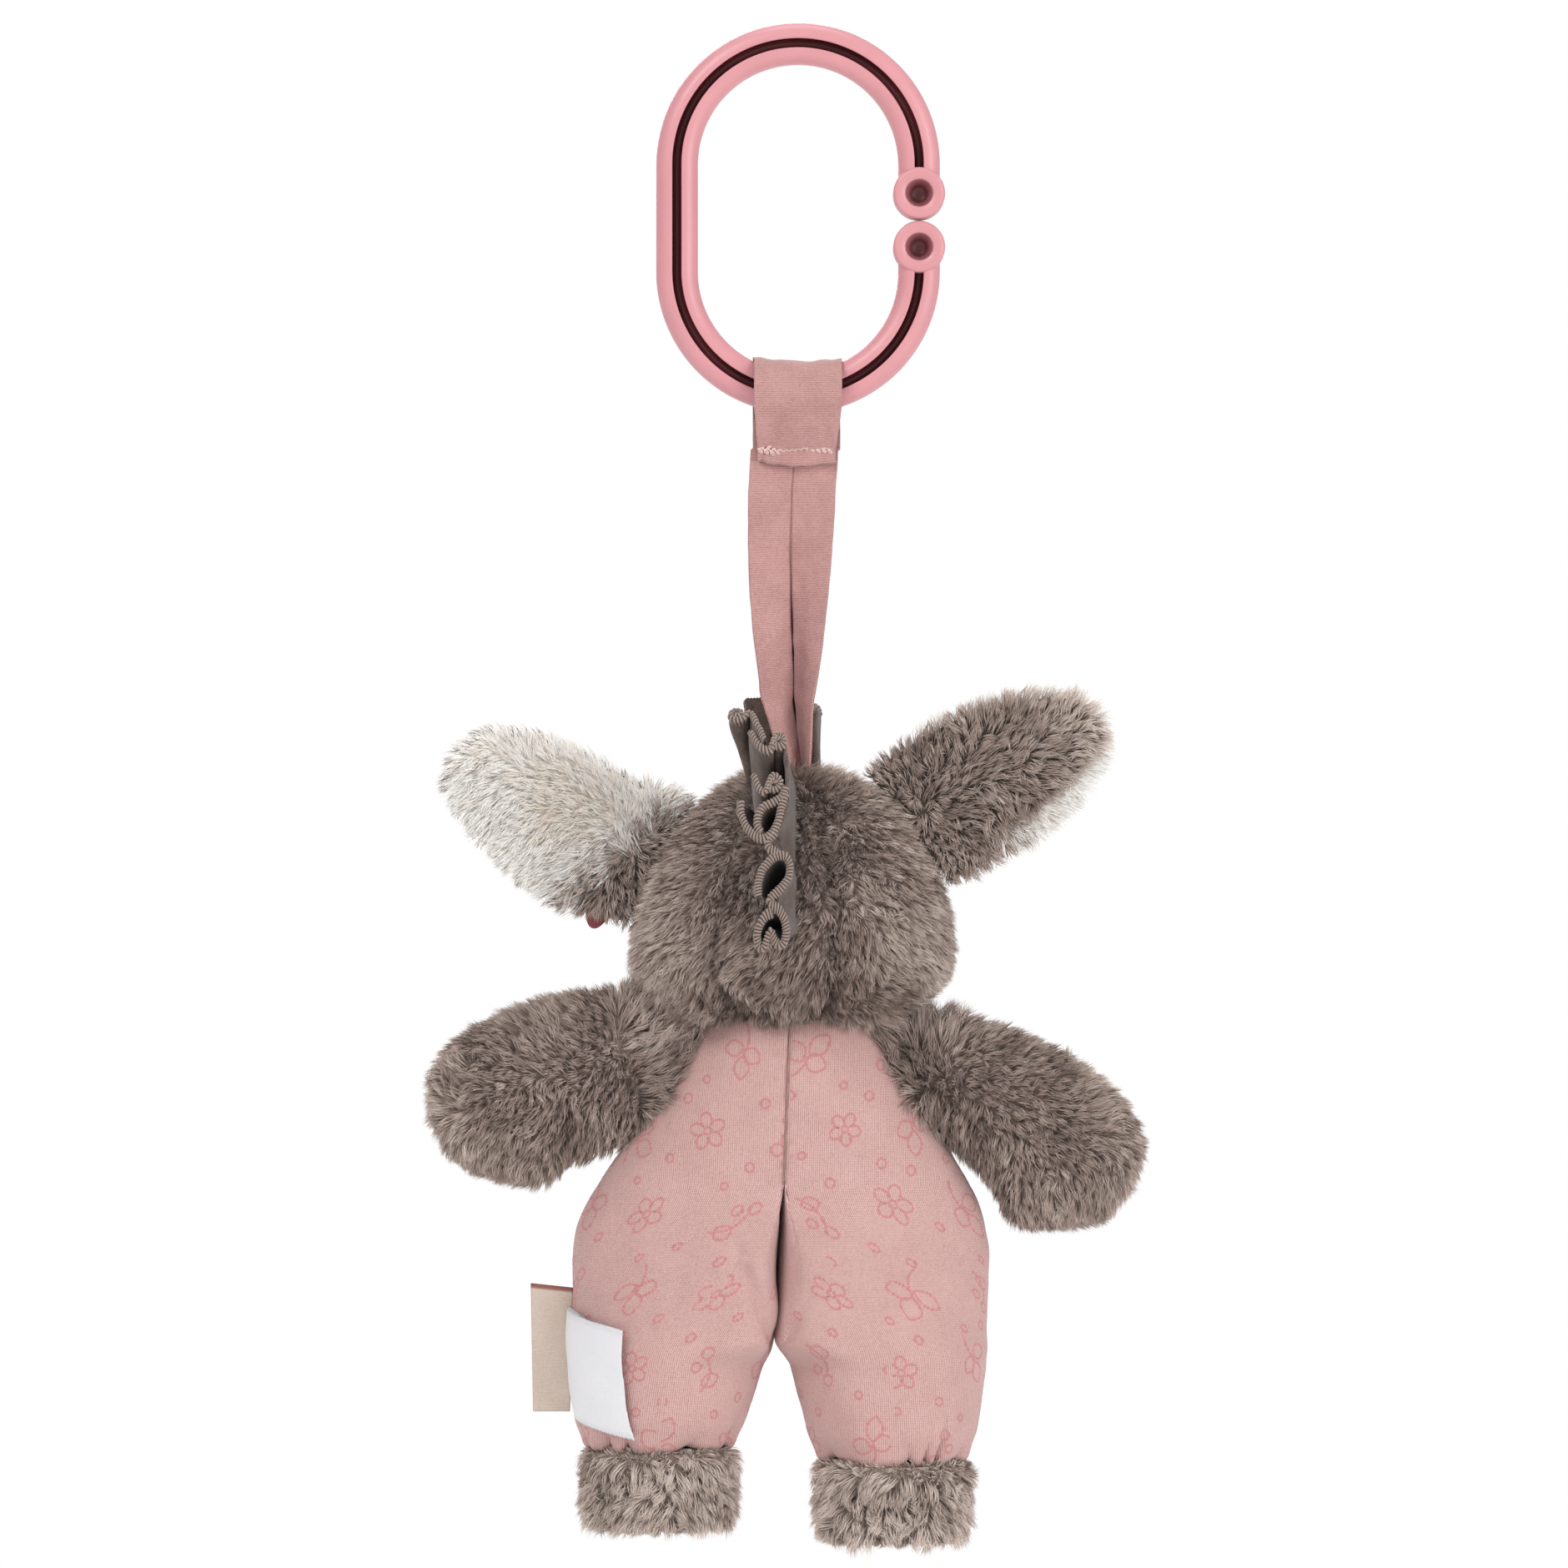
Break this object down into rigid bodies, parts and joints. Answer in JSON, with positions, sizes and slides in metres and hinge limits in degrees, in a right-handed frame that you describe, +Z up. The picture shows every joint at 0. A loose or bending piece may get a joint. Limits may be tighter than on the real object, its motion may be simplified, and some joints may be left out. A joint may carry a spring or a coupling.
{
  "type": "hanging plush toy",
  "caption": "Soft plush animal in printed jersey overalls, with a pleated mane and floppy ears, hung from a plastic clip ring on a woven strap.",
  "frame": {"origin": "inside top of the clip ring, where it rests on what it hangs from", "axes": "+Z up along the strap; +Y out of the toy's back, the side that the picture shows; +X towards the toy's left arm"},
  "size_m": [0.1607, 0.0833, 0.338],
  "materials": {
    "dusty_pink_plastic": "gloss",
    "pink_cotton": "woven",
    "grey_plush": "plush",
    "cream_plush": "plush",
    "taupe_suede": "pleated",
    "pink_jersey": "knitted",
    "white_filling": "fibre",
    "dark_thread": "embroidered",
    "brown_thread": "embroidered",
    "rose_cloth": "felt",
    "white_satin": "satin",
    "cream_weave": "woven"
  },
  "bodies": {
    "ring_clip": {"ring_clip": "dusty_pink_plastic"},
    "strap": {"strap": "pink_cotton"},
    "head": {"head_cover": "grey_plush", "head_filling": "white_filling", "muzzle": "cream_plush", "left_eye": "dark_thread", "right_eye": "dark_thread", "left_nostril": "brown_thread", "right_nostril": "brown_thread", "mane_back": "taupe_suede", "mane_front": "taupe_suede"},
    "left_ear": {"left_ear_inner": "cream_plush", "left_ear_back": "grey_plush", "ear_flower": "rose_cloth", "flower_button": "cream_weave"},
    "right_ear": {"right_ear_inner": "cream_plush", "right_ear_back": "grey_plush"},
    "torso": {"torso_cover": "pink_jersey", "torso_filling": "white_filling"},
    "left_arm": {"left_arm_cover": "grey_plush", "left_arm_filling": "white_filling"},
    "right_arm": {"right_arm_cover": "grey_plush", "right_arm_filling": "white_filling"},
    "left_leg": {"left_leg_cover": "pink_jersey", "left_leg_filling": "white_filling", "left_foot": "grey_plush"},
    "right_leg": {"right_leg_cover": "pink_jersey", "right_leg_filling": "white_filling", "right_foot": "grey_plush"},
    "side_label": {"side_label": "cream_weave"},
    "care_label": {"care_label": "white_satin"}
  },
  "joints": [
    {"name": "strap_swing", "type": "hinge", "parent": "ring_clip", "child": "strap", "pos_m": [0, 0, -0.07272], "axis": [1, 0, 0], "range_deg": [-90, 90]},
    {"name": "toy_swing", "type": "hinge", "parent": "strap", "child": "head", "pos_m": [0, 0, -0.15582], "axis": [1, 0, 0], "range_deg": [-12, 12]},
    {"name": "left_ear_flop", "type": "hinge", "parent": "head", "child": "left_ear", "pos_m": [0.03278, 0.0004, -0.17588], "axis": [0.4704, 0, -0.8824], "range_deg": [-30, 12], "stiffness_Nm_per_rad": 0.01},
    {"name": "right_ear_flop", "type": "hinge", "parent": "head", "child": "right_ear", "pos_m": [-0.02674, 0.0004, -0.16786], "axis": [0.5967, 0, 0.8025], "range_deg": [-30, 30], "stiffness_Nm_per_rad": 0.01},
    {"name": "body_turn", "type": "hinge", "parent": "head", "child": "torso", "pos_m": [0.00182, 0.0004, -0.21118], "axis": [0, 0, 1], "range_deg": [-20, 20], "stiffness_Nm_per_rad": 0.02},
    {"name": "left_arm_swing", "type": "hinge", "parent": "torso", "child": "left_arm", "pos_m": [0.03271, 0.0004, -0.22644], "axis": [0.5557, 0, -0.8314], "range_deg": [-45, 60], "stiffness_Nm_per_rad": 0.01},
    {"name": "right_arm_swing", "type": "hinge", "parent": "torso", "child": "right_arm", "pos_m": [-0.02802, 0.0004, -0.22653], "axis": [0.516, 0, 0.8566], "range_deg": [-45, 60], "stiffness_Nm_per_rad": 0.01},
    {"name": "left_leg_swing", "type": "hinge", "parent": "torso", "child": "left_leg", "pos_m": [0.02709, 0.0004, -0.27082], "axis": [-1, 0, 0], "range_deg": [-18, 18], "stiffness_Nm_per_rad": 0.005},
    {"name": "right_leg_swing", "type": "hinge", "parent": "torso", "child": "right_leg", "pos_m": [-0.0195, 0.0004, -0.27082], "axis": [-1, 0, 0], "range_deg": [-18, 18], "stiffness_Nm_per_rad": 0.005},
    {"name": "side_label_flap", "type": "hinge", "parent": "left_leg", "child": "side_label", "pos_m": [0.05112, 0.0004, -0.28486], "axis": [0.0241, 0, 0.9997], "range_deg": [-30, 10]},
    {"name": "care_label_flap", "type": "hinge", "parent": "left_leg", "child": "care_label", "pos_m": [0.05112, 0.0004, -0.28486], "axis": [-0.0241, 0, -0.9997], "range_deg": [0, 40]}
  ]
}
